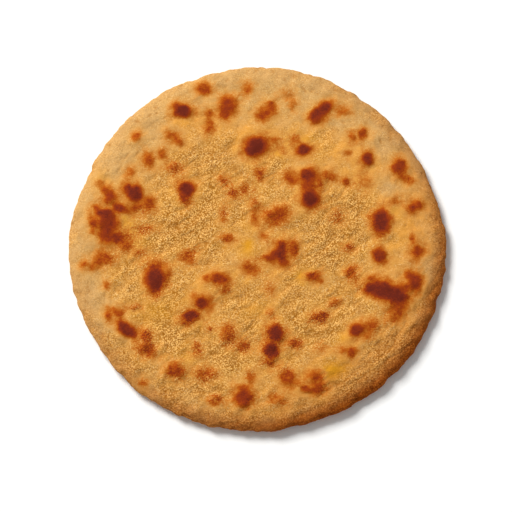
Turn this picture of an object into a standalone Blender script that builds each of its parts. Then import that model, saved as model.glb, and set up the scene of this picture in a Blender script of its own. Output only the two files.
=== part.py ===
"""A thick millet roti: a round flatbread, patted out by hand and baked on a griddle, as one solid.

Units are metres, +Z up. The roti lies flat. The origin is the middle of its footprint, on the
surface that it rests on, and +Y points away from whoever looks at it from the front.
"""

import math

import bmesh
import bpy
from mathutils import Matrix, Vector, noise

MM = 0.001

# Driving dimensions
PLAIN_RADIUS = 88.4 * MM
THICKNESS = 8.9 * MM  # at the middle, before the swells and blisters
SHOULDER_DROP = 0.9 * MM  # how much thinner it is where the edge starts to round over
EDGE_ROUND = 8.0 * MM  # how far in from the outline the rounding of the edge starts

# Where patting left the outline fuller, or pressed it in: angle anticlockwise from +X and spread
# (degrees), height (mm).
OUTLINE_BULGES = (
    (0, 14, 1.6),
    (38, 20, -0.7),
    (105, 13, -0.9),
    (140, 18, -0.4),
    (183, 18, 1.7),
    (214, 22, 0.5),
    (256, 12, -0.5),
    (284, 16, -1.1),
    (335, 20, 0.9),
)
FINGER_DENT = 0.5 * MM  # uneven outline between those
FINGER_DENT_LENGTH = 13 * MM

# Broad swells, where steam lifted the dough: x, y, length, width (mm), turn (degrees), height (mm).
SWELLS = (
    (-62, 46, 58, 26, 48, 0.9),
    (-4, 58, 52, 26, 4, 0.8),
    (46, 44, 38, 26, -40, 0.8),
    (68, 4, 26, 46, 10, 0.9),
    (40, -48, 50, 17, 42, 1.1),
    (-6, 6, 22, 40, -20, 0.7),
    (-70, -34, 24, 44, 22, 0.7),
    (-29, -21, 34, 13, 38, 0.9),
    (-38, -57, 34, 20, -24, 0.8),
    (8, -64, 40, 22, 6, 0.7),
    (-70, 14, 28, 34, 10, 0.7),
    (24, 30, 22, 34, 6, 0.6),
    (24, -13, 30, 13, 24, 0.6),
)

# Blisters, which stood highest on the griddle: x, y, width, height (mm).
BLISTERS = (
    (-73, 13, 17, 0.9),
    (-59, 27, 14, 0.9),
    (-34, 28, 14, 0.9),
    (-36, 67, 12, 0.7),
    (-14, 69, 14, 0.7),
    (30, 67, 15, 0.8),
    (-1, 50, 16, 1.0),
    (22, 48, 10, 0.7),
    (52, 44, 11, 0.7),
    (68, 40, 12, 0.7),
    (25, 25, 15, 0.9),
    (24, 37, 11, 0.7),
    (10, 16, 15, 0.6),
    (58, 12, 17, 1.0),
    (58, -3, 11, 0.7),
    (60, -20, 17, 0.8),
    (70, -22, 14, 0.8),
    (10, -3, 14, 0.8),
    (-48, -14, 18, 1.1),
    (-18, -15, 14, 0.7),
    (-26, -26, 10, 0.7),
    (-32, -32, 12, 0.8),
    (-64, -38, 13, 0.8),
    (-53, -47, 14, 0.6),
    (-39, -58, 13, 0.8),
    (-14, -41, 13, 0.6),
    (8, -40, 14, 0.9),
    (6, -50, 13, 0.9),
    (-6, -71, 13, 0.8),
    (47, -38, 12, 0.8),
    (27, -64, 15, 0.7),
)

UNDULATION = 0.5 * MM  # uneven patting between the swells
UNDULATION_LENGTH = 24 * MM
EDGE_FADE = 12 * MM  # the relief of both faces dies out over this distance to the edge
UNDERSIDE_HOLLOW = 1.2 * MM  # hollows between the patches that it lies on
UNDERSIDE_LENGTH = 20 * MM
RESTING_PAD = 12 * MM  # radius of the flat patch in the middle of the underside

GRID = 28  # squares along each side of the cube that the solid is blown up from
FINER_TOP = 0.25  # shares out the squares: more on the top than underneath
FINER_EDGE = 0.12  # and more round the edge

CRUST_COLOUR = (0.66, 0.37, 0.12, 1.0)
CRUST_ROUGHNESS = 0.85


def clear_scene():
    for thing in list(bpy.data.objects):
        bpy.data.objects.remove(thing)


def smooth_step(share):
    share = max(0.0, min(1.0, share))
    return share * share * (3 - 2 * share)


def outline_radius(angle):
    radius = PLAIN_RADIUS
    for place, spread, height in OUTLINE_BULGES:
        away = (math.degrees(angle) - place + 180) % 360 - 180
        radius += height * MM * math.exp(-((away / spread) ** 2))
    on_rim = Vector((math.cos(angle), math.sin(angle), 0)) * PLAIN_RADIUS
    return radius + FINGER_DENT * noise.noise(on_rim / FINGER_DENT_LENGTH)


def half_profile(share):
    """Radius and height on the plain disc, from its top's middle (0) round to underneath (1)."""
    flat = PLAIN_RADIUS - EDGE_ROUND
    half = (THICKNESS - SHOULDER_DROP) / 2
    edge_length = math.pi * math.sqrt((EDGE_ROUND**2 + half**2) / 2)
    along = share * (2 * flat + edge_length)
    if along < flat:
        return along, THICKNESS - SHOULDER_DROP * smooth_step(along / flat) ** 2
    if along > flat + edge_length:
        return 2 * flat + edge_length - along, 0.0
    turn = (along - flat) / edge_length * math.pi
    return flat + EDGE_ROUND * math.sin(turn), half * (1 + math.cos(turn))


def mound(x, y, centre_x, centre_y, length, width, turn):
    """1 at its middle, and sunk to a third at half its length and half its width."""
    dx, dy = x - centre_x * MM, y - centre_y * MM
    c, s = math.cos(math.radians(turn)), math.sin(math.radians(turn))
    along = (c * dx + s * dy) / (length * MM / 2)
    across = (c * dy - s * dx) / (width * MM / 2)
    return math.exp(-(along**2 + across**2))


def top_relief(x, y):
    height = UNDULATION * noise.noise(Vector((x, y, 0)) / UNDULATION_LENGTH)
    for centre_x, centre_y, length, width, turn, rise in SWELLS:
        height += rise * MM * mound(x, y, centre_x, centre_y, length, width, turn)
    for centre_x, centre_y, width, rise in BLISTERS:
        height += rise * MM * mound(x, y, centre_x, centre_y, width, width, 0)
    return height


def underside_relief(x, y):
    """Never below zero: the roti lies on the patches where this is nothing."""
    clear_of_pad = smooth_step(math.hypot(x, y) / RESTING_PAD - 1)
    far_below = -5 * UNDERSIDE_LENGTH  # a slice of the noise that has nothing to do with the top's
    hollow = noise.noise(Vector((x, y, far_below)) / UNDERSIDE_LENGTH)
    return UNDERSIDE_HOLLOW * clear_of_pad * max(0.0, hollow)


def roti_point(on_cube):
    """Moves a point of the cube that spans -1 to 1 to the roti's surface."""
    direction = Vector([math.tan(side * math.pi / 4) for side in on_cube]).normalized()
    from_top = math.acos(max(-1.0, min(1.0, direction.z)))
    angle = math.atan2(direction.y, direction.x)
    shared_out = FINER_EDGE * math.sin(2 * from_top) - FINER_TOP * math.sin(from_top)
    radius, height = half_profile((from_top + shared_out) / math.pi)
    stretch = outline_radius(angle) / PLAIN_RADIUS
    x, y = radius * stretch * math.cos(angle), radius * stretch * math.sin(angle)
    inside = smooth_step((PLAIN_RADIUS - radius) / EDGE_FADE)
    level = smooth_step(height / (THICKNESS - SHOULDER_DROP))
    height += inside * level * top_relief(x, y)
    height += inside * (1 - level) * underside_relief(x, y)
    return Vector((x, y, height))


def make_crust_material():
    material = bpy.data.materials.new("griddled_millet_crust")
    material.use_nodes = True
    shader = material.node_tree.nodes["Principled BSDF"]
    shader.inputs["Base Color"].default_value = CRUST_COLOUR
    shader.inputs["Roughness"].default_value = CRUST_ROUGHNESS
    shader.inputs["Metallic"].default_value = 0.0
    return material


def make_roti():
    """A cube with its sides cut into squares and blown up to a roti: it has even faces and no pole."""
    shape = bmesh.new()
    bmesh.ops.create_cube(shape, size=2)
    bmesh.ops.subdivide_edges(shape, edges=shape.edges[:], cuts=GRID - 1, use_grid_fill=True)
    for vert in shape.verts:
        vert.co = roti_point(vert.co)
    lowest = Vector([min(vert.co[axis] for vert in shape.verts) for axis in range(3)])
    highest = Vector([max(vert.co[axis] for vert in shape.verts) for axis in range(3)])
    middle = (lowest + highest) / 2
    footing = Vector((middle.x, middle.y, lowest.z))
    bmesh.ops.transform(shape, matrix=Matrix.Translation(-footing), verts=shape.verts)
    bmesh.ops.recalc_face_normals(shape, faces=shape.faces)
    mesh = bpy.data.meshes.new("roti")
    shape.to_mesh(mesh)
    shape.free()
    mesh.shade_smooth()
    mesh.materials.append(make_crust_material())
    roti = bpy.data.objects.new("roti", mesh)
    bpy.context.scene.collection.objects.link(roti)


clear_scene()
make_roti()
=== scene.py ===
# %% [markdown]
# # A thick millet roti
#
# This lesson dresses a round flatbread that was patted out by hand and baked on a griddle. Its
# solid gives the outline, the thickness and the larger swells. Here it gets what the eye reads as
# bread: blisters, crumbs, nicks in the rim, scorch marks and a dry, floury crust. Read each note,
# run the cell under it, and look at what it prints.

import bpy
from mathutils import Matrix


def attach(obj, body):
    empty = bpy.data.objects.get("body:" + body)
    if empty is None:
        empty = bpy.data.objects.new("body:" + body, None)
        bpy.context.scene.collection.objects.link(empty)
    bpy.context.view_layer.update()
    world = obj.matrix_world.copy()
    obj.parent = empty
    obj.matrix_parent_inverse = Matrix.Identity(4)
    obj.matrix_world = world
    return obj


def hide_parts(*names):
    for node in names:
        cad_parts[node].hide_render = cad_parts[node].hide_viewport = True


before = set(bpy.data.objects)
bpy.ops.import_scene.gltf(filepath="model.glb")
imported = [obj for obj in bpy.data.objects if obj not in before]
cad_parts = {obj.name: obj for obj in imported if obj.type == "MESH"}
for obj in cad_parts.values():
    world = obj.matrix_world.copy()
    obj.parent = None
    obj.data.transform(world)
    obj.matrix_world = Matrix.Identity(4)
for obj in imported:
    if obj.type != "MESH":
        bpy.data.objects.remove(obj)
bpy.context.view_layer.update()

# %% [markdown]
# ## Tools for the lesson
#
# Everything is worked out in millimetres on whole columns of points at once with numpy, which
# is quick even for a hundred thousand points, and turned into Blender's metres at the very end.
# Four small functions carry most of the work: a soft step, a turn, a soft mound, and Perlin noise
# of a given size. The noise comes out the same each time, so every run bakes the same roti.

# %% Helpers for columns of points
import math

import bmesh
import bpy
import numpy as np
from mathutils import Vector, noise

MM = 0.001


def smooth_step(share):
    """Rises softly from 0 to 1 as share does, and stays level outside those."""
    share = np.clip(share, 0, 1)
    return share * share * (3 - 2 * share)


def along_and_across(dx, dy, turn):
    """A step in x and y as a step along and across something that is turned by some degrees."""
    c, s = math.cos(math.radians(turn)), math.sin(math.radians(turn))
    return c * dx + s * dy, c * dy - s * dx


def mound(x, y, centre_x, centre_y, length, width, turn):
    """1 at its middle, and sunk to a third at half its length and half its width."""
    along, across = along_and_across(x - centre_x, y - centre_y, turn)
    return np.exp(-((along / (length / 2)) ** 2 + (across / (width / 2)) ** 2))


def noise_at(points, size, apart=0):
    """Noise from about -1 to 1, with lumps as large as size, in millimetres. Two noises that
    stand apart by different lengths have nothing to do with each other."""
    return np.array([noise.noise(point) for point in (points + apart) / size])


# %% [markdown]
# ## The size of the roti
#
# A thick millet roti is about as wide as a hand is long. The dough has no gluten, so it is
# pressed out between wet palms and its rim comes out uneven: a little fuller here, pressed in
# there. These values are the solid's own, so the crust fits it.

# %% Driving dimensions, in millimetres
PLAIN_RADIUS = 88.4
THICKNESS = 8.9  # at the middle, before the swells and blisters
SHOULDER_DROP = 0.9  # how much thinner it is where the edge starts to round over
EDGE_ROUND = 8.0  # how far in from the outline the rounding of the edge starts
FLAT_RADIUS = PLAIN_RADIUS - EDGE_ROUND
OUTLINE_BULGES = (  # angle anticlockwise from +X, spread (degrees), height (mm)
    (0, 14, 1.6),
    (38, 20, -0.7),
    (105, 13, -0.9),
    (140, 18, -0.4),
    (183, 18, 1.7),
    (214, 22, 0.5),
    (256, 12, -0.5),
    (284, 16, -1.1),
    (335, 20, 0.9),
)
FINGER_DENT = 0.5  # uneven outline between those
FINGER_DENT_LENGTH = 13


def outline_radius(angle):
    radius = np.full_like(angle, PLAIN_RADIUS)
    for place, spread, height in OUTLINE_BULGES:
        away = (np.degrees(angle) - place + 180) % 360 - 180
        radius += height * np.exp(-((away / spread) ** 2))
    on_rim = PLAIN_RADIUS * np.stack([np.cos(angle), np.sin(angle), 0 * angle], axis=1)
    return radius + FINGER_DENT * noise_at(on_rim, FINGER_DENT_LENGTH)


quarters = outline_radius(np.radians([0.0, 90.0, 180.0, 270.0]))
print("radius to the right, far, left and near:", quarters.round(1), "mm")

# %% [markdown]
# ## A blank with even faces
#
# The plain way to a disc is rings round a middle point, but its faces shrink to slivers at the
# pole and its relief would show a star there. A cube whose sides are cut into squares has no
# pole. Blown up to a ball and then pressed flat it becomes a disc whose faces stay close to square
# all over, so one mesh serves the top, the rim and the underside.

# %% Cut a cube into squares
GRID = 128  # squares along a side of the cube: 196,608 triangles, about 0.65 mm each on the top

shape = bmesh.new()
bmesh.ops.create_cube(shape, size=2)
bmesh.ops.subdivide_edges(shape, edges=shape.edges[:], cuts=GRID - 1, use_grid_fill=True)
on_cube = np.array([vert.co for vert in shape.verts])
print("blank:", len(shape.verts), "points,", len(shape.faces), "squares")

# %% [markdown]
# ## From the cube to a plain disc
#
# Each point of the cube has a direction from the centre. How far it leans from straight up says
# how far along the roti's half profile it goes: out over the top, round the half-ellipse of the
# edge and back underneath. Two small terms share out the squares, more of them on top and round
# the edge, where they are seen.

# %% Share out the squares
FINER_TOP = 0.25
FINER_EDGE = 0.12

direction = np.tan(on_cube * math.pi / 4)
direction /= np.linalg.norm(direction, axis=1)[:, None]
from_top = np.arccos(np.clip(direction[:, 2], -1, 1))
angle = np.arctan2(direction[:, 1], direction[:, 0])
share = from_top + FINER_EDGE * np.sin(2 * from_top) - FINER_TOP * np.sin(from_top)
share /= math.pi
print("share of the points on the top:", round(float(np.mean(share < 0.5)), 2))

# %% Press the ball to a disc
half = (THICKNESS - SHOULDER_DROP) / 2
edge_length = math.pi * math.sqrt((EDGE_ROUND**2 + half**2) / 2)
along = share * (2 * FLAT_RADIUS + edge_length)
turn = np.clip((along - FLAT_RADIUS) / edge_length, 0, 1) * math.pi
on_top, below = along < FLAT_RADIUS, along > FLAT_RADIUS + edge_length

radius = FLAT_RADIUS + EDGE_ROUND * np.sin(turn)
radius[on_top] = along[on_top]
radius[below] = 2 * FLAT_RADIUS + edge_length - along[below]
height = half * (1 + np.cos(turn))
height[on_top] = THICKNESS - SHOULDER_DROP * smooth_step(along[on_top] / FLAT_RADIUS) ** 2
level = smooth_step(height / (THICKNESS - SHOULDER_DROP))  # 1 on the top, 0 underneath

stretch = outline_radius(angle) / PLAIN_RADIUS
x = radius * stretch * np.cos(angle)
y = radius * stretch * np.sin(angle)
in_plan = np.stack([x, y, 0 * x], axis=1)
print("plain disc:", round(np.ptp(x), 1), "x", round(np.ptp(y), 1), "mm")

# %% [markdown]
# ## Swells and undulation
#
# As the roti bakes, steam lifts it in broad patches, and those patches meet the griddle first.
# They end up smoother and more golden than the valleys between them, so the same list serves
# twice: for the height here, and for the finish later on.

# %% Broad swells: x, y, length, width (mm), turn (degrees), height (mm)
SWELLS = (
    (-62, 46, 58, 26, 48, 0.9),
    (-4, 58, 52, 26, 4, 0.8),
    (46, 44, 38, 26, -40, 0.8),
    (68, 4, 26, 46, 10, 0.9),
    (40, -48, 50, 17, 42, 1.1),
    (-6, 6, 22, 40, -20, 0.7),
    (-70, -34, 24, 44, 22, 0.7),
    (-29, -21, 34, 13, 38, 0.9),
    (-38, -57, 34, 20, -24, 0.8),
    (8, -64, 40, 22, 6, 0.7),
    (-70, 14, 28, 34, 10, 0.7),
    (24, 30, 22, 34, 6, 0.6),
    (24, -13, 30, 13, 24, 0.6),
)
UNDULATION = 0.5  # uneven patting between the swells, in mm
UNDULATION_LENGTH = 24

swell = np.zeros_like(x)
for centre_x, centre_y, length, width, turned, rise in SWELLS:
    swell += rise * mound(x, y, centre_x, centre_y, length, width, turned)
relief = swell + UNDULATION * noise_at(in_plan, UNDULATION_LENGTH)
print("highest swell:", round(float(swell.max()), 2), "mm")

# %% [markdown]
# ## Blisters
#
# Where the steam finds a weak spot it raises a small blister, which stands highest, touches the
# griddle hardest and scorches. The large ones are in the solid too.

# %% Large blisters: x, y, width, height (mm)
BLISTERS = (
    (-73, 13, 17, 0.9),
    (-59, 27, 14, 0.9),
    (-34, 28, 14, 0.9),
    (-36, 67, 12, 0.7),
    (-14, 69, 14, 0.7),
    (30, 67, 15, 0.8),
    (-1, 50, 16, 1.0),
    (22, 48, 10, 0.7),
    (52, 44, 11, 0.7),
    (68, 40, 12, 0.7),
    (25, 25, 15, 0.9),
    (24, 37, 11, 0.7),
    (10, 16, 15, 0.6),
    (58, 12, 17, 1.0),
    (58, -3, 11, 0.7),
    (60, -20, 17, 0.8),
    (70, -22, 14, 0.8),
    (10, -3, 14, 0.8),
    (-48, -14, 18, 1.1),
    (-18, -15, 14, 0.7),
    (-26, -26, 10, 0.7),
    (-32, -32, 12, 0.8),
    (-64, -38, 13, 0.8),
    (-53, -47, 14, 0.6),
    (-39, -58, 13, 0.8),
    (-14, -41, 13, 0.6),
    (8, -40, 14, 0.9),
    (6, -50, 13, 0.9),
    (-6, -71, 13, 0.8),
    (47, -38, 12, 0.8),
    (27, -64, 15, 0.7),
)
for centre_x, centre_y, width, rise in BLISTERS:
    relief += rise * mound(x, y, centre_x, centre_y, width, width, 0)
print("relief of the top:", round(np.ptp(relief[on_top]), 2), "mm")

# %% [markdown]
# ## Scorch marks
#
# The marks are the roti's face. A mark is an oval with a heat: at 1 its middle is charred dark
# maroon, at 0.5 it is toasted orange-brown, and at 0.3 it is only golden. They can't come from
# a random scatter, because a viewer knows this roti by where they lie, so they are listed one by
# one, one quarter of the roti at a time. A mark that isn't oval is two or more that overlap.

# %% Marks on the far left: x, y, length, width (mm), turn (degrees), heat
MARKS_FAR_LEFT = (
    (-35.6, 65.8, 6.6, 5.5, 0, 1.0),
    (-39.5, 68.3, 3, 2.5, 0, 0.42),
    (-39, 64, 2, 2, 0, 0.6),
    (-25.9, 76.5, 5.4, 4.6, 0, 0.62),
    (-14, 69, 6.8, 7, 0, 0.72),
    (-16, 64.3, 4.6, 4, 0, 0.6),
    (-23.4, 64, 2.8, 3.5, 0, 0.48),
    (-22.8, 60.5, 2.2, 3.5, 0, 0.35),
    (-23, 57, 4.5, 4, 0, 0.42),
    (-57.4, 53.6, 3.4, 3.6, 0, 0.62),
    (-41, 53.5, 5, 3.2, -30, 0.42),
    (-37.4, 51, 3.5, 2.6, -30, 0.5),
    (-52, 42, 4.6, 5, 0, 0.6),
    (-45.4, 44.7, 2.8, 3.8, 0, 0.45),
    (-61, 36.4, 3, 4, 0, 0.4),
    (-39.8, 38, 6, 4.2, 0, 0.5),
    (-58.6, 25.7, 7.6, 7, -30, 0.98),
    (-62, 28.6, 2.6, 3.6, 0, 0.7),
    (-58, 19, 5, 2.8, 0, 0.5),
    (-51.7, 20.5, 5.4, 5.8, 0, 0.62),
    (-65.6, 18.8, 5.4, 4, -15, 0.88),
    (-62.5, 16.8, 3, 2, -30, 0.5),
    (-33.7, 27.8, 7.2, 6.8, 0, 1.0),
    (-34.8, 23.2, 3.4, 4.4, 0, 0.64),
    (-70.8, 24.4, 4.6, 6, 0, 0.68),
    (-73, 27.6, 2.6, 2.4, 0, 0.42),
    (-76.4, 18.9, 3, 2.2, 0, 0.6),
    (-73, 16.2, 7, 3.4, 0, 0.95),
    (-71.3, 11.8, 7.6, 8, 0, 0.82),
    (-78.2, 11.5, 3, 4, 0, 0.7),
    (-78.8, 7.6, 2.6, 2.2, 0, 0.45),
    (-72.4, 5.5, 5.8, 6, 0, 0.72),
    (-66.8, 4.5, 5, 3.8, 10, 0.8),
    (-62.6, 0.2, 5.4, 4.2, 0, 0.5),
    (-61.8, 5, 4, 3.6, 0, 0.4),
    (-53, 8.6, 6.4, 2.8, 0, 0.42),
    (-75, 29.8, 3, 2.6, 0, 0.3),
    (-16.2, 16, 2.6, 5.5, 0, 0.36),
    (-16, 32.2, 3.8, 3.8, 0, 0.5),
    (-5.8, 28, 3.6, 3.8, 0, 0.45),
    (-11.5, 25.8, 2.6, 4, 0, 0.52),
    (-14.2, 3.9, 4.6, 3.4, 0, 0.58),
)
print(len(MARKS_FAR_LEFT), "marks on the far left")

# %% Marks on the far right
MARKS_FAR_RIGHT = (
    (-4.8, 76.9, 4, 4.6, 0, 0.5),
    (2.4, 63.8, 5, 3.8, 15, 0.62),
    (5.8, 67, 4.4, 5, 0, 0.46),
    (6.5, 69.6, 1.6, 1.6, 0, 0.5),
    (14, 75, 4, 3, 0, 0.25),
    (16.8, 69, 2.6, 4.5, 0, 0.36),
    (28.7, 64.3, 6.4, 5.2, 30, 0.9),
    (32.6, 67.6, 6.6, 4.4, 45, 0.93),
    (27.6, 61.6, 3.6, 2.4, 0, 0.5),
    (41, 65.8, 4.6, 3.8, 0, 0.45),
    (-0.6, 48.8, 10, 8.2, 30, 1.0),
    (-3.4, 46.2, 5, 4, 0, 0.9),
    (8.6, 51.3, 3.4, 2.6, 0, 0.45),
    (12, 47, 2.4, 3, 0, 0.35),
    (18, 52, 3.2, 4, 0, 0.42),
    (21.8, 47, 5.8, 4.2, 12, 0.97),
    (45, 52.6, 3, 2.8, 0, 0.5),
    (50.2, 54.8, 4, 3.8, 0, 0.63),
    (42.8, 45.5, 2.6, 2.4, 0, 0.38),
    (52.5, 42.6, 4.8, 5.4, 0, 0.9),
    (23.9, 34.9, 5.8, 5, 0, 0.9),
    (24.5, 29.5, 5.4, 6.4, 0, 0.66),
    (25.2, 22.9, 7.6, 6.8, 0, 1.0),
    (16, 33, 2.4, 2.6, 0, 0.45),
    (15.8, 33.2, 5.4, 4.6, 0, 0.38),
    (29.2, 31.7, 2.2, 5, 0, 0.5),
    (35, 34.2, 4.8, 3.8, 0, 0.52),
    (42.1, 31.2, 2.8, 2.8, 0, 0.55),
    (1, 35.7, 3, 3.4, 0, 0.56),
    (1.2, 32.6, 2.4, 2.4, 0, 0.35),
    (-1.2, 20.8, 2.8, 3.6, 0, 0.42),
    (-1.5, 14.2, 3, 4.6, 0, 0.45),
    (9.2, 14.8, 9.2, 7.6, 25, 0.6),
    (38, 14.6, 4.6, 4.4, 0, 0.42),
    (58.6, 12, 8, 10.2, 0, 0.98),
    (3.6, 4.3, 4.4, 3, -30, 0.4),
    (43.4, -0.4, 3, 3.2, 0, 0.45),
    (64.6, 22.2, 4.4, 3, 0, 0.35),
    (76.2, 20.2, 5, 4.6, 0, 0.68),
    (73, 18.5, 4, 4, 0, 0.4),
    (67.5, 38.8, 5.8, 6.6, 0, 0.76),
    (71.4, 33.1, 6, 3, -22, 0.54),
    (73.8, 4.6, 2.6, 3.2, 0, 0.48),
    (75.8, 1.6, 2.4, 3, 0, 0.35),
    (51, 32, 6, 6, 0, 0.26),
)
print(len(MARKS_FAR_RIGHT), "marks on the far right")

# %% Marks on the near left
MARKS_NEAR_LEFT = (
    (-73.2, -5.2, 7.4, 4.6, -10, 0.6),
    (-82, -8.4, 2.6, 2.2, 0, 0.42),
    (-78.3, -9.2, 3.6, 2.4, 0, 0.42),
    (-55.4, -3.4, 5, 3.4, 0, 0.33),
    (-33.6, -4, 7, 3.6, 35, 0.45),
    (-31.4, -6, 2.4, 3.6, 0, 0.38),
    (-48.5, -15.6, 7.2, 10.6, 0, 1.0),
    (-48.5, -15.8, 6, 9, 0, 0.9),
    (-48.4, -9.6, 5, 2.8, 0, 0.45),
    (-42.8, -14, 2.2, 8, 0, 0.36),
    (-71.3, -18.4, 3.2, 3.8, 0, 0.45),
    (-18, -15.5, 6.8, 5.4, 0, 0.73),
    (-24.2, -15, 2.6, 2.4, 0, 0.5),
    (-15, -20, 4, 3.6, 30, 0.4),
    (-26.3, -27.1, 4.7, 4.8, 0, 0.93),
    (-29.6, -23.6, 2.8, 2.4, 0, 0.42),
    (-22.2, -28, 2.4, 5, 0, 0.32),
    (-31.8, -33.2, 6.6, 5, 0, 0.97),
    (-33.4, -36.4, 4, 2.2, 0, 0.55),
    (-70.6, -32.9, 3, 3.6, 0, 0.58),
    (-65.3, -32.2, 3.2, 3.6, 0, 0.48),
    (-68, -30.2, 3, 1.8, 0, 0.4),
    (-58.8, -29, 4.4, 2.2, 0, 0.38),
    (-62, -39.9, 10, 4.8, -38, 0.96),
    (-52.6, -42.7, 4.2, 4.6, 0, 0.68),
    (-52.2, -46.8, 3.6, 2.6, 0, 0.42),
    (-52.2, -50.3, 7, 4.8, -15, 0.55),
    (-38.8, -59.4, 7, 5.8, 0, 0.64),
    (-28.4, -49.1, 3.8, 5, 0, 0.48),
    (-22, -39.5, 2, 1.8, 0, 0.45),
    (-24.4, -61, 7.8, 4.6, 0, 0.52),
    (-54.5, -65, 3.6, 3, 0, 0.42),
    (-19.8, -73.3, 4.8, 3.2, 0, 0.5),
    (-14, -42, 5.6, 7, 0, 0.6),
    (-6.8, -47.5, 5, 4.4, 0, 0.63),
    (-3, -62, 3.8, 4.4, 0, 0.46),
    (-6.5, -72.3, 7.3, 7, 0, 0.82),
    (-7, -67.4, 4, 2.6, 0, 0.46),
    (-4.4, -9.4, 5.6, 4.6, -20, 0.4),
    (-2.6, -11, 3.4, 3.4, 0, 0.4),
)
print(len(MARKS_NEAR_LEFT), "marks on the near left")

# %% Marks on the near right
MARKS_NEAR_RIGHT = (
    (11.4, -3, 4.8, 8, -8, 0.88),
    (8.4, -4, 6, 4.4, 40, 0.76),
    (11.4, 0.8, 3, 3, 0, 0.7),
    (13, -8, 2.8, 2.8, 0, 0.5),
    (4.6, -5.7, 3.8, 2, 0, 0.5),
    (17.4, -0.9, 4.2, 6, 0, 0.58),
    (6.3, -20.2, 3.8, 5.6, 0, 0.32),
    (26.9, -14.2, 5.4, 3.4, 0, 0.63),
    (30, -16.6, 2.4, 2, 0, 0.42),
    (44.4, -12.4, 4.6, 4.6, 0, 0.56),
    (36.8, -26.8, 4.4, 2.8, 25, 0.46),
    (30.4, -33.6, 5.2, 4.2, 0, 0.65),
    (25.8, -34, 2.8, 2.8, 0, 0.42),
    (5.5, -32, 3.4, 2.8, 0, 0.3),
    (8.8, -41.4, 6.7, 7.8, 0, 1.0),
    (4.7, -41.6, 2.2, 3.8, 0, 0.46),
    (6.6, -49.6, 6.4, 6.8, 0, 1.0),
    (6, -55.2, 2.8, 3, 0, 0.5),
    (17.7, -46.5, 5, 3.6, 0, 0.62),
    (30, -49, 5, 4, 0, 0.24),
    (13.8, -62.4, 5.4, 6, 0, 0.61),
    (19, -66, 3, 2.2, 0, 0.36),
    (27.2, -62, 5.6, 4.6, 0, 0.56),
    (23.2, -68.3, 5, 2.6, 0, 0.67),
    (29.2, -67.6, 5.4, 5, 0, 0.6),
    (11.4, -74.4, 4.4, 3.4, 0, 0.42),
    (7.4, -72.4, 4, 4, 0, 0.28),
    (46.9, -39.8, 5, 4.8, 30, 0.85),
    (54.2, -37.2, 6, 4.8, 20, 0.48),
    (51.6, -43, 5, 3, 0, 0.3),
    (44.2, -50.8, 3.6, 4.2, 0, 0.63),
    (40.5, -49.3, 2.6, 2.4, 0, 0.36),
    (59.5, -20.8, 14.6, 7.6, -12, 0.98),
    (53, -19.7, 4.6, 3.4, 0, 0.85),
    (54.8, -15.4, 5, 2, 0, 0.42),
    (66.8, -23.8, 8.6, 7, -20, 0.95),
    (75, -17, 5.6, 7.6, 0, 0.8),
    (71.6, -13.6, 4, 3.6, 0, 0.56),
    (71, -20, 3.6, 3, 0, 0.55),
    (66.6, -30.4, 6.8, 6, 0, 0.45),
    (65, -35, 4, 3.4, 0, 0.34),
    (76.8, -1.5, 3.6, 3.2, 0, 0.6),
    (75.4, -3.4, 4.6, 3.6, 0, 0.36),
    (58.2, -4.2, 5.2, 6.4, 0, 0.8),
    (61, -8, 2.4, 2.4, 0, 0.36),
)
TOP_MARKS = MARKS_FAR_LEFT + MARKS_FAR_RIGHT + MARKS_NEAR_LEFT + MARKS_NEAR_RIGHT
print(len(TOP_MARKS), "marks on the top")

# %% [markdown]
# ## Marks underneath
#
# Nobody sees the underside in the first picture, but it was baked on the same griddle, first
# side down, so it gets the same kind of marks. Here a seeded scatter is right, because there
# is nothing to match.

# %% Scatter the marks of the underside
SCATTER_SEED = 7
UNDERSIDE_MARKS = 120
UNDERSIDE_REACH = 82  # mm from the middle
SMALLEST, GROWTH = 3, 8  # mm: the smallest mark, and what chance adds to it, mostly little
ROUNDNESS = (0.6, 1)  # width as a share of the length
COOLEST, HEAT_PER_MM, HEAT_CHANCE = 0.25, 0.08, (0.6, 1.4)  # larger marks are hotter

scatter = np.random.default_rng(SCATTER_SEED)
underside_marks = []
for _ in range(UNDERSIDE_MARKS):
    out = UNDERSIDE_REACH * math.sqrt(scatter.random())
    around = scatter.random() * math.tau
    size = SMALLEST + GROWTH * scatter.random() ** 2
    underside_marks.append(
        (
            out * math.cos(around),
            out * math.sin(around),
            size,
            size * scatter.uniform(*ROUNDNESS),
            scatter.uniform(0, 180),
            min(1.0, COOLEST + HEAT_PER_MM * size * scatter.uniform(*HEAT_CHANCE)),
        )
    )
print(len(underside_marks), "marks underneath")

# %% [markdown]
# ## The heat of each point
#
# A real mark is never a clean oval. Every point is first pushed a millimetre or so by noise, so
# that the ovals come out lobed and nicked, the weak ones more than the hot ones. Then each mark
# gives a heat that falls to half just outside its outline, and heats that overlap add up without
# ever passing 1. A hot mark has a firm edge, and a weak one fades out slowly. Round the mark the
# crust is smooth and a little golden for another few millimetres. That glow is worked out in the
# same way, and it leaves an uneven haze of toast.

# %% Push the points about
WARPS = ((6.0, 1.1), (2.6, 0.7))  # size of the lumps, and how far they push, in mm

warped_x, warped_y = x.copy(), y.copy()
for size, push in WARPS:
    warped_x += push * noise_at(in_plan, size, apart=311)
    warped_y += push * noise_at(in_plan, size, apart=-173)
print("pushed by up to", round(float(np.hypot(warped_x - x, warped_y - y).max()), 1), "mm")

# %% Work out the heat
LOBED, LESS_LOBED = 1.35, 0.8  # how much of the push a cold mark gets, and how much heat takes off
SOFTEST, FIRMER = 1.7, 4.3  # how steeply the heat of a cold mark falls, and what its heat adds
WIDEST, TIGHTER = 1.45, 0.38  # where it is half, as a share of the oval, and what heat takes off
GLOW_REACH = 4.0  # mm


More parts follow.
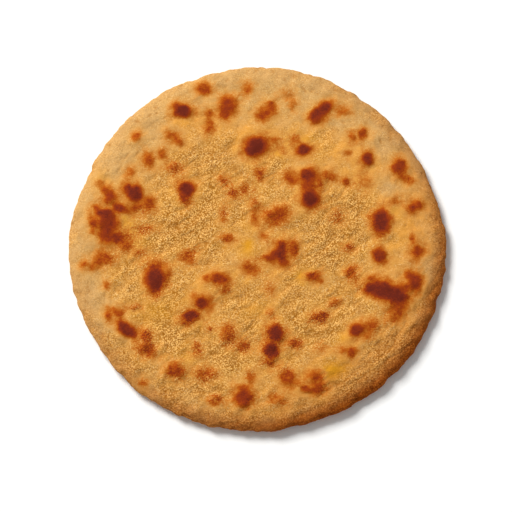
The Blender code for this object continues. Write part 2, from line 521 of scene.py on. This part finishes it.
def heat_of(marks):
    """The scorching that some marks give each point, and the golden glow round them."""
    cool, pale = np.ones_like(x), np.ones_like(x)
    for centre_x, centre_y, length, width, turned, heat in marks:
        lobed = LOBED - LESS_LOBED * heat
        dx = x + lobed * (warped_x - x) - centre_x
        dy = y + lobed * (warped_y - y) - centre_y
        along, across = along_and_across(dx, dy, turned)
        away = np.hypot(along / (length / 2), across / (width / 2))
        outside = np.maximum(0, away - 1) * (length + width) / 4
        hardness, reach = SOFTEST + FIRMER * heat, WIDEST - TIGHTER * heat
        cool *= 1 - heat / (1 + (away / reach) ** hardness)
        pale *= 1 - heat * np.exp(-((outside / GLOW_REACH) ** 2))
    return 1 - cool, 1 - pale


top_heat, top_glow = heat_of(TOP_MARKS)
low_heat, low_glow = heat_of(underside_marks)
print("hottest on the top:", round(float(top_heat.max()), 2))

# %% Join the two sides and add the haze
HAZE = 0.19  # heat of the haze where the glow is strongest
HAZE_UNEVEN, HAZE_LUMPS = 1.4, 5  # how much it comes and goes, and over how many mm
CHARRED = 0.6  # the heat from which crust counts as charred

upper = level > 0.5  # the upper half of the rim goes with the top
scorch = np.where(upper, top_heat, low_heat)
glow = np.where(upper, top_glow, low_glow)
haze = HAZE * glow * (1 + HAZE_UNEVEN * noise_at(in_plan, HAZE_LUMPS, apart=201))
scorch = 1 - (1 - scorch) * (1 - haze)
print("charred share of the top:", round(float(np.mean(scorch[on_top] > CHARRED)), 3))

# %% [markdown]
# ## Smooth and grainy crust
#
# Crust that was pressed on the griddle is smooth, and so is the glow round a mark. The valleys
# between keep the coarse flour. The swells above give part of that. The rest is listed, as the
# marks are: the valleys that show best, and the places that the palm rubbed smooth, most of them
# along the far side. The far left of the rim is smooth as well, and pale.

# %% Valleys and smooth places: x, y, length, width (mm), turn (degrees), amount
VALLEYS = (
    (40, 8, 34, 22, 70, 0.6),
    (28, -42, 34, 16, 30, 0.7),
    (-42, -42, 30, 20, 20, 0.6),
    (-12, -50, 30, 18, 20, 0.7),
    (-60, 8, 24, 20, 0, 0.5),
    (-34, 8, 30, 26, 40, 0.45),
    (-10, 30, 22, 18, 30, 0.5),
    (-26, -66, 26, 10, -20, 0.5),
    (46, -24, 18, 12, 20, 0.3),
    (-38, 42, 24, 16, 45, 0.5),
    (-20, 58, 16, 12, 0, 0.4),
    (16, -58, 16, 10, 0, 0.4),
    (-44, -26, 20, 12, 30, 0.5),
    (-58, -56, 50, 14, -45, 0.2),
    (58, -54, 50, 14, 45, 0.2),
)
SMOOTH_PLACES = (
    (-50, 54, 76, 28, 48, 0.8),
    (0, 73, 84, 26, 0, 0.7),
    (56, 44, 44, 26, -45, 0.7),
    (74, 12, 18, 60, 8, 0.7),
    (-82, -10, 14, 60, 8, 0.5),
    (-12, 52, 30, 22, 0, 0.35),
    (38, 42, 20, 18, 0, 0.4),
    (60, -15, 26, 28, 0, 0.4),
)


def patches_of(places):
    """How much of a patchy finish some places give each point."""
    amount = np.zeros_like(x)
    for centre_x, centre_y, length, width, turned, share in places:
        amount += share * mound(warped_x, warped_y, centre_x, centre_y, length, width, turned)
    return amount


hand_set = patches_of(VALLEYS) - patches_of(SMOOTH_PLACES)
print("hand-set grain:", round(float(hand_set.min()), 2), "to", round(float(hand_set.max()), 2))

# %% How grainy the crust is
PLAIN_GRAIN, LEAST_GRAIN = 0.68, 0.12
PRESSED_FROM, PRESSED_OVER = 0.3, 0.9  # mm of swell: where pressing starts to show, and over what
PRESSED_LESS, GLOW_LESS, PALE_LESS = 0.45, 0.5, 0.4  # grain that each of these takes away
UNEVENNESS = 0.4  # how much the grain varies of itself
UNEVEN_COARSE, UNEVEN_FINE, FINE_SHARE = 14, 6, 0.5  # sizes in mm, and how much the fine one counts
PALE_FROM = 54  # mm from the middle
PALE_SIDE = 130  # degrees anticlockwise from +X
PALE_ALL_ROUND, PALE_MORE = 0.3, 0.7  # all round the rim, and what that side adds


def towards(side):
    """1 on the side that lies at an angle in degrees, and 0 on the side opposite."""
    return 0.5 + 0.5 * np.cos(angle - math.radians(side))


def rim_from(start):
    """0 up to so many millimetres from the middle, and 1 at the outline."""
    return smooth_step((radius - start) / (PLAIN_RADIUS - start))


pressed = smooth_step((swell - PRESSED_FROM) / PRESSED_OVER)
uneven = noise_at(in_plan, UNEVEN_COARSE, apart=57)
uneven += FINE_SHARE * noise_at(in_plan, UNEVEN_FINE, apart=23)
pale_rim = rim_from(PALE_FROM) * (PALE_ALL_ROUND + PALE_MORE * towards(PALE_SIDE))
grain = PLAIN_GRAIN + hand_set - PRESSED_LESS * pressed
grain += UNEVENNESS * uneven - GLOW_LESS * glow - PALE_LESS * pale_rim
grain = np.clip(grain, LEAST_GRAIN, 1)
print("grain:", round(float(grain[on_top].mean()), 2), "on average")

# %% [markdown]
# ## Golden and yellow crust, and painted shade on the rim
#
# The swells were pressed on the griddle and went golden, in patches, and so did the glow round
# the marks. A few places went a clear yellow where fat was brushed on. The near right of the rim,
# the side away from the lamp, gets painted shade: its colour is multiplied darker and browner,
# and a softer band of the same painted shade runs just inside it.

# %% Golden and yellow places: x, y, length, width (mm), turn (degrees), amount
GOLDEN_PLACES = (
    (-57, 8, 30, 26, 0, 0.5),
    (0, -20, 34, 24, 20, 0.4),
    (-38, -40, 30, 20, 30, 0.4),
    (3, 38, 20, 14, 30, 0.4),
    (20, 12, 30, 18, 30, 0.2),
    (78, 20, 16, 50, 0, 0.4),
    (-34, 60, 30, 18, 30, 0.35),
)
YELLOW_PLACES = (
    (36, -59.6, 11, 7, 20, 1.2),
    (22, -61, 6, 5, 0, 0.5),
    (-5, -1.5, 8, 9, 0, 0.6),
    (-4.5, 1, 5, 5, 0, 0.5),
    (-2, 11, 8, 8, 0, 0.4),
    (22, -14, 8, 6, 0, 1.0),
    (42, -43, 9, 5, 40, 0.6),
    (51, 33, 8, 9, 0, 0.6),
    (9, 46, 8, 5, 0, 0.7),
    (21, 50, 14, 10, 0, 0.5),
    (-62, 9, 10, 12, 0, 0.6),
    (-58, 1, 12, 8, 0, 0.4),
    (-74, 32, 8, 12, 20, 0.4),
    (66, 18, 12, 8, 0, 0.5),
    (-48, -31, 20, 12, 20, 0.4),
    (-33, -52, 10, 10, 0, 0.3),
    (0, -30, 16, 8, 20, 0.3),
)
PLAIN_GOLD = 0.6
PRESSED_GOLD, UNEVEN_GOLD, GLOW_GOLD = 0.2, 0.4, 0.3  # what each of these adds
GLOW_YELLOW = 0.3

golden = PLAIN_GOLD + PRESSED_GOLD * pressed + UNEVEN_GOLD * uneven + GLOW_GOLD * glow
golden = np.clip(golden + patches_of(GOLDEN_PLACES) - pale_rim, 0, 1)
yellow = np.clip(patches_of(YELLOW_PLACES) + GLOW_YELLOW * glow, 0, 1)
print("golden:", round(float(golden[on_top].mean()), 2), "on average")

# %% Painted shade on the side of the rim away from the lamp
SHADED_SIDE = -51  # degrees anticlockwise from +X
RIM_SHADE_FROM = 78  # mm from the middle
RIM_SHADE_ALL_ROUND = 0.05  # share of the painted shade that the whole rim gets
RIM_SHADE_FOCUS = 1.7  # a larger power keeps the painted shade closer to its side
SHADE_BAND_AT, SHADE_BAND_WIDTH = 76.5, 6.5  # mm from the middle, and mm
SHADE_BAND_AMOUNT, SHADE_BAND_FOCUS = 0.3, 2.5

# Painted shade: the rim darkens towards the side away from the lamp, with a band just inside.
rim_shade = rim_from(RIM_SHADE_FROM) * (RIM_SHADE_ALL_ROUND + towards(SHADED_SIDE) ** RIM_SHADE_FOCUS)
shade_band = SHADE_BAND_AMOUNT * np.exp(-(((radius - SHADE_BAND_AT) / SHADE_BAND_WIDTH) ** 2))
rim_shade = np.clip(rim_shade + shade_band * towards(SHADED_SIDE) ** SHADE_BAND_FOCUS, 0, 1)
print("browned share:", round(float(np.mean(rim_shade > 0.5)), 2))

# %% [markdown]
# ## Put the relief on the disc
#
# The large relief fades out towards the rim, where the hand rounded the dough. Every mark stands
# up a little, because it is a blister too. Underneath, the hollows only go up: the patches
# between them stay on the surface that the roti lies on.

# %% Shape the mesh
EDGE_FADE = 12  # mm
UNDERSIDE_HOLLOW = 1.2  # depth in mm
UNDERSIDE_LENGTH = 20  # size of the hollows in mm
FAR_BELOW = 5 * UNDERSIDE_LENGTH  # a slice of the noise that has nothing to do with the top's
RESTING_PAD = 12  # radius in mm of the flat patch in the middle of the underside
SMALL_BLISTER = 0.35  # height in mm
BLISTER_GAIN = 1.6  # a blister has its full height from a heat of about 0.6


def move_points(places):
    """Moves the points of the mesh to places that are given in millimetres."""
    for vert, place in zip(shape.verts, places * MM):
        vert.co = place


inside = smooth_step((PLAIN_RADIUS - radius) / EDGE_FADE)
clear_of_pad = smooth_step(np.hypot(x, y) / RESTING_PAD - 1)
slice_below = in_plan - np.array([0, 0, FAR_BELOW])
hollow = np.maximum(0, noise_at(slice_below, UNDERSIDE_LENGTH)) * clear_of_pad
relief += SMALL_BLISTER * smooth_step(top_heat * BLISTER_GAIN)
height += inside * level * relief + inside * (1 - level) * UNDERSIDE_HOLLOW * hollow
points = np.stack([x, y, height], axis=1)
footing = (points.min(axis=0) + points.max(axis=0)) / 2
footing[2] = points[:, 2].min()
points -= footing
print("large relief: the roti is", round(float(points[:, 2].max()), 1), "mm high")

# %% Find the way out of the surface at each point
move_points(points)
bmesh.ops.recalc_face_normals(shape, faces=shape.faces)
shape.normal_update()
normals = np.array([vert.normal for vert in shape.verts])
print("facing up:", round(float(np.mean(normals[:, 2] > 0)), 2), "of the points")

# %% [markdown]
# ## Ridges, creases and pits
#
# Fine relief goes along the surface's own direction, so that it works on the steep rim too. The
# palm drew the dough one way, which left soft ridges and thin creases that lie along its stroke.
# They are strongest where the crust is grainy. Between them are pits, where a bubble broke.

# %% Along the palm's stroke
STROKE = 35  # degrees: the way that the palm went
RIDGES = ((4, 13), 0.50)  # size across and along the stroke, and height, in mm
CREASES = ((4, 11), 0.30)
CREASE_THINNESS = 9  # a larger number makes them thinner
CREASE_PATCHES = 15  # mm over which the creases come and go
CREASE_SHARE, CREASE_CONTRAST = 0.5, 2  # how common they are, and how suddenly they stop
DRAWN_LEAST, DRAWN_MORE = 0.25, 0.75  # what smooth crust keeps of both, and what grain adds
DRAWN_GRAIN = 0.6  # the grain that gives all of it
PITS = (2.2, 0.35)  # size and depth in mm
PIT_RARITY, PIT_EDGE = 0.4, 0.2  # larger numbers make them rarer, and their sides less steep


def along_stroke(across, along_it):
    """The points turned and shrunk, so that noise of size 1 lies along the palm's stroke."""
    along, sideways = along_and_across(points[:, 0], points[:, 1], STROKE)
    return np.stack([along / along_it, sideways / across, points[:, 2] / across], axis=1)


drawn = DRAWN_LEAST + DRAWN_MORE * smooth_step(grain / DRAWN_GRAIN)
ridge = noise_at(along_stroke(*RIDGES[0]), 1) * drawn
crease = np.exp(-((CREASE_THINNESS * noise_at(along_stroke(*CREASES[0]), 1, apart=40)) ** 2))
come_and_go = CREASE_CONTRAST * noise_at(points, CREASE_PATCHES, apart=70)
crease *= smooth_step(CREASE_SHARE + come_and_go) * drawn
pit = smooth_step((noise_at(points, PITS[0], apart=17) - PIT_RARITY) / PIT_EDGE) * (1 - glow)
fine = RIDGES[1] * ridge - CREASES[1] * crease - PITS[1] * pit
print("creased share:", round(float(np.mean(crease > 0.5)), 3))

# %% [markdown]
# ## Lumps, crumbs and nicks
#
# The dough is lumpy all over. Crumbs of under two millimetres stand up where the crust is grainy
# and round the rim, where it dried and crumbled. The outline has short nicks where it cracked.
# Nothing is pushed below the surface that the roti lies on, so what it rests on stays flat.

# %% Lumps, crumbs and nicks
LUMPS = (5.0, 0.45)  # size and height in mm
CRUMBS = (1.7, 0.18)
NICKS = (3.2, 0.6)
NICK_RARITY = 0.15  # a larger number makes them rarer
NICKS_IN, NICKS_FADE = 2, 7  # mm in from the outline: full up to here, and faded out over this
ROUGH_FROM, ROUGH_OVER = 60, 16  # mm from the middle, and mm
ROUGH_CRUMBS, ROUGH_LUMPS = 1.4, 0.4  # how much the rim adds to the crumbs and the lumps

rim = 1 - smooth_step((PLAIN_RADIUS - radius - NICKS_IN) / NICKS_FADE)
rough = ROUGH_CRUMBS * smooth_step((radius - ROUGH_FROM) / ROUGH_OVER)
fine += LUMPS[1] * (1 + ROUGH_LUMPS * rough) * noise_at(points, LUMPS[0])
fine += CRUMBS[1] * (grain + rough) * noise_at(points, CRUMBS[0])
fine -= NICKS[1] * rim * np.maximum(0, noise_at(points, NICKS[0], apart=91) - NICK_RARITY)
points = points + normals * fine[:, None]
points[:, 2] = np.maximum(points[:, 2], 0)
move_points(points)
print("fine relief:", round(float(fine.min()), 2), "to", round(float(fine.max()), 2), "mm")

# %% [markdown]
# ## Painted shade in the hollows
#
# Creases, pits and the feet of the ridges get painted shade, a dull brown in their colour. A
# few places along the near side, which slope away from the lamp, get the same painted shade.

# %% Places of painted shade: x, y, length, width (mm), turn (degrees), amount
SHADED_PLACES = (
    (26, -62, 32, 20, 15, 0.5),
    (26, -80, 34, 12, 18, 0.35),
    (68, -32, 16, 20, -20, 0.25),
)
# How much painted shade creases and ridge feet get; pits get it in full.
CREASE_SHADE, RIDGE_FOOT_SHADE = 0.75, 0.35

hollow_shade = CREASE_SHADE * crease + pit + RIDGE_FOOT_SHADE * np.maximum(0, -ridge)
hollow_shade = np.clip(hollow_shade + patches_of(SHADED_PLACES), 0, 1)
print("dull:", round(float(hollow_shade[on_top].mean()), 2), "on average")

# %% [markdown]
# ## The finished piece
#
# The heat, the gold, the grain and the rest are stored on the mesh as named attributes, one
# number at every point. The material reads them there, so the colours stay fixed to the crust
# however the roti is turned.

# %% Make the object
mesh = bpy.data.meshes.new("roti_crust")
shape.to_mesh(mesh)
shape.free()
mesh.shade_smooth()
finishes = {
    "scorch": scorch,
    "golden": golden,
    "grain": grain,
    "yellow": yellow,
    # the next two are painted shade: on the rim, and in the hollows
    "rim_shade": rim_shade,
    "hollow_shade": hollow_shade,
}
for name, values in finishes.items():
    attribute = mesh.attributes.new(name, "FLOAT", "POINT")
    attribute.data.foreach_set("value", values.astype(np.float32))
crust = bpy.data.objects.new("roti_crust", mesh)
bpy.context.scene.collection.objects.link(crust)
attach(crust, "root")
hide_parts("roti")
print("crust:", len(mesh.polygons), "faces")

# %% [markdown]
# ## Colours and a helper for nodes
#
# Colours are given as web colours, which are sRGB. Shaders want linear light, so one
# function turns them. Another adds a node, sets it and links it in one call.

# %% Colour and node helpers
material = bpy.data.materials.new("griddled_millet_crust")
material.use_nodes = True
tree = material.node_tree
shader = tree.nodes["Principled BSDF"]


def linear(web):
    """A colour such as #E0AA62 as linear red, green, blue and alpha."""
    shares = [int(web[k : k + 2], 16) / 255 for k in (1, 3, 5)]
    return [c / 12.92 if c <= 0.04045 else ((c + 0.055) / 1.055) ** 2.4 for c in shares] + [1.0]


def add(kind, inputs=(), output=0, **settings):
    """Adds a shader node and gives one of its outputs. An input takes a value, a web colour or
    another node's output."""
    made = tree.nodes.new("ShaderNode" + kind)
    for name, value in settings.items():
        setattr(made, name, value)
    for key, value in dict(inputs).items():
        if isinstance(value, bpy.types.NodeSocket):
            tree.links.new(value, made.inputs[key])
        elif isinstance(value, str):
            made.inputs[key].default_value = linear(value)
        else:
            made.inputs[key].default_value = value
    return made.outputs[output]


# A Mix node blends colours with these. Its inputs are then 0, the share of the second colour,
# and 6 and 7, the two colours.
COLOURS = {"output": 2, "data_type": "RGBA"}

# %% [markdown]
# ## Griddled millet crust
#
# Millet flour bakes to a dry, matt crust: beige, with paler grits and darker bran side by side,
# and a golden bloom where it was pressed on the griddle. Noise in clouds of six millimetres
# turns smooth crust from pale to golden, and valleys from dark to light. Over that lie two finer
# patterns, both of them cells of a Voronoi texture and both strongest where the crust is grainy.
# Grits are stretched along the palm's stroke, and each has its own shade, from bran to pale
# flour. Nubs are the little lumps of dough that stand between them; their tops get a painted
# highlight and their gaps painted shade. Both are near their real size.

# %% Where a point lies, and its finishes
GRIT_STRETCH = 1.4

place = add("TexCoord", output="Object")
along_palm = {"Rotation": (0, 0, math.radians(-STROKE)), "Scale": (1 / GRIT_STRETCH, 1, 1)}
lie = add("Mapping", {"Vector": place, **along_palm})
here = {name: add("Attribute", output="Fac", attribute_name=name) for name in finishes}
print("the material reads", ", ".join(here))

# %% Smooth crust and valleys
PALE = "#C69E66"
GOLD = "#E29C43"
VALLEY_DARK = "#C27E28"
VALLEY_LIGHT = "#F0B050"
CLOUD_SIZE = 6  # mm
BLOOM_LIMITS = {"From Min": 0.25, "From Max": 0.75}
MOTTLE_LIMITS = {"From Min": 0.35, "From Max": 0.65}
BLOOM_SHIFT = -0.3  # keeps crust that isn't golden pale

cloud = add("TexNoise", {"Vector": place, "Scale": 1 / (CLOUD_SIZE * MM), "Detail": 3})
bloom = add("MapRange", {"Value": cloud, **BLOOM_LIMITS})
bloom = {0: bloom, 1: here["golden"], 2: BLOOM_SHIFT}
bloom = add("Math", bloom, operation="MULTIPLY_ADD")
bloom = add("Math", {0: bloom, 1: here["golden"]}, operation="ADD", use_clamp=True)
smooth_crust = add("Mix", {0: bloom, 6: PALE, 7: GOLD}, **COLOURS)
mottle = add("MapRange", {"Value": cloud, **MOTTLE_LIMITS})
valley = add("Mix", {0: mottle, 6: VALLEY_DARK, 7: VALLEY_LIGHT}, **COLOURS)
dough = add("Mix", {0: here["grain"], 6: smooth_crust, 7: valley}, **COLOURS)
print("smooth crust and valleys:", len(tree.nodes), "nodes")

# %% Grits
GRIT_SIZE = 0.34  # mm
GRIT_SHADES = (  # share of the grits, and colour
    (0.0, "#683200"),
    (0.2, "#905004"),
    (0.5, "#C8882C"),
    (0.8, "#F2BA64"),
    (1.0, "#FFE0A4"),
)
GRITS_MOST, GRITS_LEAST = 0.7, 0.1  # how much they cover: with the grain, and everywhere
PATCH_SIZE = 4.0  # mm: grits lie in patches
PATCH_LIMITS = {"From Min": 0.36, "From Max": 0.62, "To Min": 0.5, "To Max": 1.6}

tone = add("TexVoronoi", {"Vector": lie, "Scale": 1 / (GRIT_SIZE * MM)}, output="Color")
tone = add("SeparateColor", {"Color": tone})  # one number for each grit
shade = add("ValToRGB", {"Fac": tone})
stops = shade.node.color_ramp.elements
while len(stops) < len(GRIT_SHADES):
    stops.new(1)
for stop, (share_of_grits, web) in zip(stops, GRIT_SHADES):
    stop.position = share_of_grits
    stop.color = linear(web)
cover = {0: here["grain"], 1: GRITS_MOST, 2: GRITS_LEAST}
cover = add("Math", cover, operation="MULTIPLY_ADD")
patchy = add("TexNoise", {"Vector": lie, "Scale": 1 / (PATCH_SIZE * MM), "Detail": 2})
patchy = add("MapRange", {"Value": patchy, **PATCH_LIMITS})
cover = add("Math", {0: cover, 1: patchy}, operation="MULTIPLY")
dough = add("Mix", {0: cover, 6: dough, 7: shade}, **COLOURS)
print("with the grits:", len(tree.nodes), "nodes")

# %% Nubs, with a painted highlight on their tops and painted shade in their gaps
NUB_SIZE = 0.72  # mm
NUB_LIT_TOP = "#FCC370"
NUB_SHADED_GAP = "#985A0A"
NUB_COVER = 0.78
NUB_LIMITS = {"From Min": 0.64, "From Max": 0.32}  # distance from a cell's middle

nub_shape = add("TexVoronoi", {"Vector": place, "Scale": 1 / (NUB_SIZE * MM)}, output="Distance")
nub_shape = add("MapRange", {"Value": nub_shape, **NUB_LIMITS})
# Painted highlight on each nub's top and painted shade in the gaps round it.
lit_and_shaded_nub = add("Mix", {0: nub_shape, 6: NUB_SHADED_GAP, 7: NUB_LIT_TOP}, **COLOURS)
cover = add("Math", {0: here["grain"], 1: NUB_COVER}, operation="MULTIPLY")
dough = add("Mix", {0: cover, 6: dough, 7: lit_and_shaded_nub}, **COLOURS)
print("with the nubs:", len(tree.nodes), "nodes")

# %% Painted shade in hollows and gaps, yellow, and painted shade on the rim
# Painted shade for creases, pits, ridge feet, the near side's slope and the gaps between clumps.
HOLLOW_SHADE = "#A2641C"
HOLLOW_SHADE_COVER = 0.5
YELLOW = "#D89420"
# Painted shade: the colour that darkens and browns the rim's side away from the lamp
RIM_SHADE_TINT = "#C48A44"
CLUMP_SIZE = 3.2  # mm: the dough lies in clumps, and the gaps between them are sunk and get painted shade
CLUMP_LOOK = {"Detail": 3, "Roughness": 0.6}
GAP_LIMITS = {"From Min": 0.46, "From Max": 0.8}
GAP_COVER = 0.75

# Painted shade in the hollows.
sunk = add("Math", {0: here["hollow_shade"], 1: HOLLOW_SHADE_COVER}, operation="MULTIPLY")
dough = add("Mix", {0: sunk, 6: dough, 7: HOLLOW_SHADE}, **COLOURS)
dough = add("Mix", {0: here["yellow"], 6: dough, 7: YELLOW}, **COLOURS)
# Painted shade in the gaps between clumps; the bump sinks the same gaps.
clumps = add("TexNoise", {"Vector": lie, "Scale": 1 / (CLUMP_SIZE * MM), **CLUMP_LOOK})
gap_depth_and_shade = add("MapRange", {"Value": clumps, **GAP_LIMITS})
gap_depth_and_shade = add("Math", {0: gap_depth_and_shade, 1: here["grain"]}, operation="MULTIPLY")
gap_depth_and_shade = add("Math", {0: gap_depth_and_shade, 1: GAP_COVER}, operation="MULTIPLY")
dough = add("Mix", {0: gap_depth_and_shade, 6: dough, 7: HOLLOW_SHADE}, **COLOURS)
# Painted shade on the rim's side away from the lamp, multiplied into the colour.
shaded_rim = {0: here["rim_shade"], 6: dough, 7: RIM_SHADE_TINT}
dough = add("Mix", shaded_rim, blend_type="MULTIPLY", **COLOURS)
print("the dough:", len(tree.nodes), "nodes")

# %% [markdown]
# ## Toast and char
#
# The heat of each point picks a colour from a ramp: golden, orange-brown, red-brown and at last
# maroon char. Dough that stands higher scorches first, so the heat is made uneven before the
# ramp reads it, in blotches of two millimetres and from grit to grit, more so where the crust is
# grainy. Cold crust and full char stay even, and the heats between get the most of it. That
# gives the marks their speckled rings.

# %% Uneven heat
BLOTCH_SIZE = 2.2  # mm
BLOTCH_LOOK = {"Detail": 2, "Roughness": 0.6}
BLOTCHES = 0.45
SPECKLES, LEAST_SPECKLES = 0.5, 0.1  # with the grain, and everywhere
MIDDLE_TONE = 0.5
EVEN_AGAIN = 1.14  # the heat at which the unevenness has died out
UNEVEN_GAIN = 4.0

blotch = add("TexNoise", {"Vector": place, "Scale": 1 / (BLOTCH_SIZE * MM), **BLOTCH_LOOK})
lobes = add("Math", {0: blotch, 1: BLOTCHES, 2: -BLOTCHES / 2}, operation="MULTIPLY_ADD")
darker = add("Math", {0: MIDDLE_TONE, 1: tone}, operation="SUBTRACT")
speckles = {0: here["grain"], 1: SPECKLES, 2: LEAST_SPECKLES}
speckles = add("Math", speckles, operation="MULTIPLY_ADD")
ragged = add("Math", {0: darker, 1: speckles, 2: lobes}, operation="MULTIPLY_ADD")
between = add("Math", {0: EVEN_AGAIN, 1: here["scorch"]}, operation="SUBTRACT")
between = add("Math", {0: between, 1: here["scorch"]}, operation="MULTIPLY")
ragged = add("Math", {0: ragged, 1: between}, operation="MULTIPLY")
ragged = {0: ragged, 1: UNEVEN_GAIN, 2: here["scorch"]}
uneven_heat = add("Math", ragged, operation="MULTIPLY_ADD")
print("with the uneven heat:", len(tree.nodes), "nodes")

# %% Toast and char
HEAT_COLOURS = (  # heat, colour, how much it covers
    (0.05, "#CF8E40", 0.0),
    (0.14, "#CB8A40", 0.5),
    (0.23, "#C27B31", 0.9),
    (0.33, "#B96C22", 1.0),
    (0.455, "#AE5A10", 1.0),
    (0.56, "#A54A0A", 1.0),
    (0.66, "#963B08", 1.0),
    (0.785, "#8C330D", 1.0),
    (0.91, "#7C2B13", 1.0),
    (1.00, "#672315", 1.0),
)

toast = add("ValToRGB", {"Fac": uneven_heat})
stops = toast.node.color_ramp.elements
while len(stops) < len(HEAT_COLOURS):
    stops.new(1)
for stop, (heat, web, cover) in zip(stops, HEAT_COLOURS):
    stop.position = heat
    stop.color = linear(web)[:3] + [cover]
baked = add("Mix", {0: toast.node.outputs["Alpha"], 6: dough, 7: toast}, **COLOURS)
tree.links.new(baked, shader.inputs["Base Color"])
print(len(HEAT_COLOURS), "steps from dough to char")

# %% [markdown]
# ## A dry, floury surface
#
# Baked dough with flour on it is rough at every scale, so it has next to no gloss. The nubs rise
# a tenth of a millimetre, which is too fine for the mesh, so they are a bump.

# %% Dryness and bump
CRUST_ROUGHNESS = 0.95
CRUST_SPECULAR = 0.1
NUB_HEIGHT = 0.1  # mm

shader.inputs["Roughness"].default_value = CRUST_ROUGHNESS
shader.inputs["Specular IOR Level"].default_value = CRUST_SPECULAR
hill = add("Math", {0: nub_shape, 1: here["grain"]}, operation="MULTIPLY")
hill = add("Math", {0: hill, 1: gap_depth_and_shade}, operation="SUBTRACT")
bump = add("Bump", {"Height": hill, "Distance": NUB_HEIGHT * MM})
tree.links.new(bump, shader.inputs["Normal"])
mesh.materials.append(material)
print("the whole material:", len(tree.nodes), "nodes")

# %% [markdown]
# ## Floor
#
# A plain, nearly white surface, as in a product picture.

# %% The floor
FLOOR_SIZE = 6.0  # metres
PAPER = "#FAFAF8"
PAPER_ROUGHNESS = 0.9

floor_shape = bmesh.new()
bmesh.ops.create_grid(floor_shape, x_segments=1, y_segments=1, size=FLOOR_SIZE / 2)
floor_mesh = bpy.data.meshes.new("floor")
floor_shape.to_mesh(floor_mesh)
floor_shape.free()
floor = bpy.data.objects.new("floor", floor_mesh)
bpy.context.scene.collection.objects.link(floor)
floor_material = bpy.data.materials.new("matt_white_paper")
floor_material.use_nodes = True
floor_shader = floor_material.node_tree.nodes["Principled BSDF"]
floor_shader.inputs["Base Color"].default_value = linear(PAPER)
floor_shader.inputs["Roughness"].default_value = PAPER_ROUGHNESS
floor_mesh.materials.append(floor_material)
print("floor:", FLOOR_SIZE, "m across")

# %% [markdown]
# ## Light
#
# One large soft lamp stands at the upper left, nearly five metres away, so the whole roti gets
# the same light and its shadow has a soft edge. A pale sky fills the shadows.

# %% Lamp and sky
KEY_PLACE = Vector((-2.2, 2.6, 3.4))  # metres
KEY_SIZE = 2.0  # metres
KEY_POWER = 274.0  # watts
SKY = "#FFFFFF"
FILL = 0.36  # strength of the sky

lamp_data = bpy.data.lights.new("soft_key", "AREA")
lamp_data.energy = KEY_POWER
lamp_data.size = KEY_SIZE
lamp = bpy.data.objects.new("soft_key", lamp_data)
lamp.location = KEY_PLACE
lamp.rotation_euler = (-KEY_PLACE).to_track_quat("-Z", "Y").to_euler()
bpy.context.scene.collection.objects.link(lamp)

world = bpy.data.worlds.new("pale_sky")
world.use_nodes = True
sky = world.node_tree.nodes["Background"]
sky.inputs["Color"].default_value = linear(SKY)
sky.inputs["Strength"].default_value = FILL
bpy.context.scene.world = world
bpy.context.scene.view_settings.view_transform = "Standard"
print("lamp:", round(KEY_PLACE.length, 1), "m away")

# %% [markdown]
# ## Camera
#
# The picture is taken from almost straight above, leaning a little towards the viewer. A long
# lens from two metres keeps the outline nearly as round as it is.

# %% The camera
CAMERA_ELEVATION = math.radians(81)
LENS = 300  # mm
SENSOR = 36  # mm
VIEW_WIDTH = 0.2436  # of what shows at the roti, in metres
AIM = Vector((-0.0007, -0.0044, 0.008))  # metres

camera_data = bpy.data.cameras.new("camera")
camera_data.lens = LENS
camera_data.sensor_width = SENSOR
camera = bpy.data.objects.new("camera", camera_data)
bpy.context.scene.collection.objects.link(camera)
backwards = Vector((0, -math.cos(CAMERA_ELEVATION), math.sin(CAMERA_ELEVATION)))
camera.location = AIM + backwards * (VIEW_WIDTH * LENS / SENSOR)
camera.rotation_euler = (-backwards).to_track_quat("-Z", "Y").to_euler()
bpy.context.scene.camera = camera
print("camera:", round(VIEW_WIDTH * LENS / SENSOR, 2), "m away")

# %% [markdown]
# ## The last update
#
# The dressed roti has to be as large as its solid. The crumbs and lumps may stand a fraction of
# a millimetre proud of it.

# %% Update the scene
bpy.context.view_layer.update()
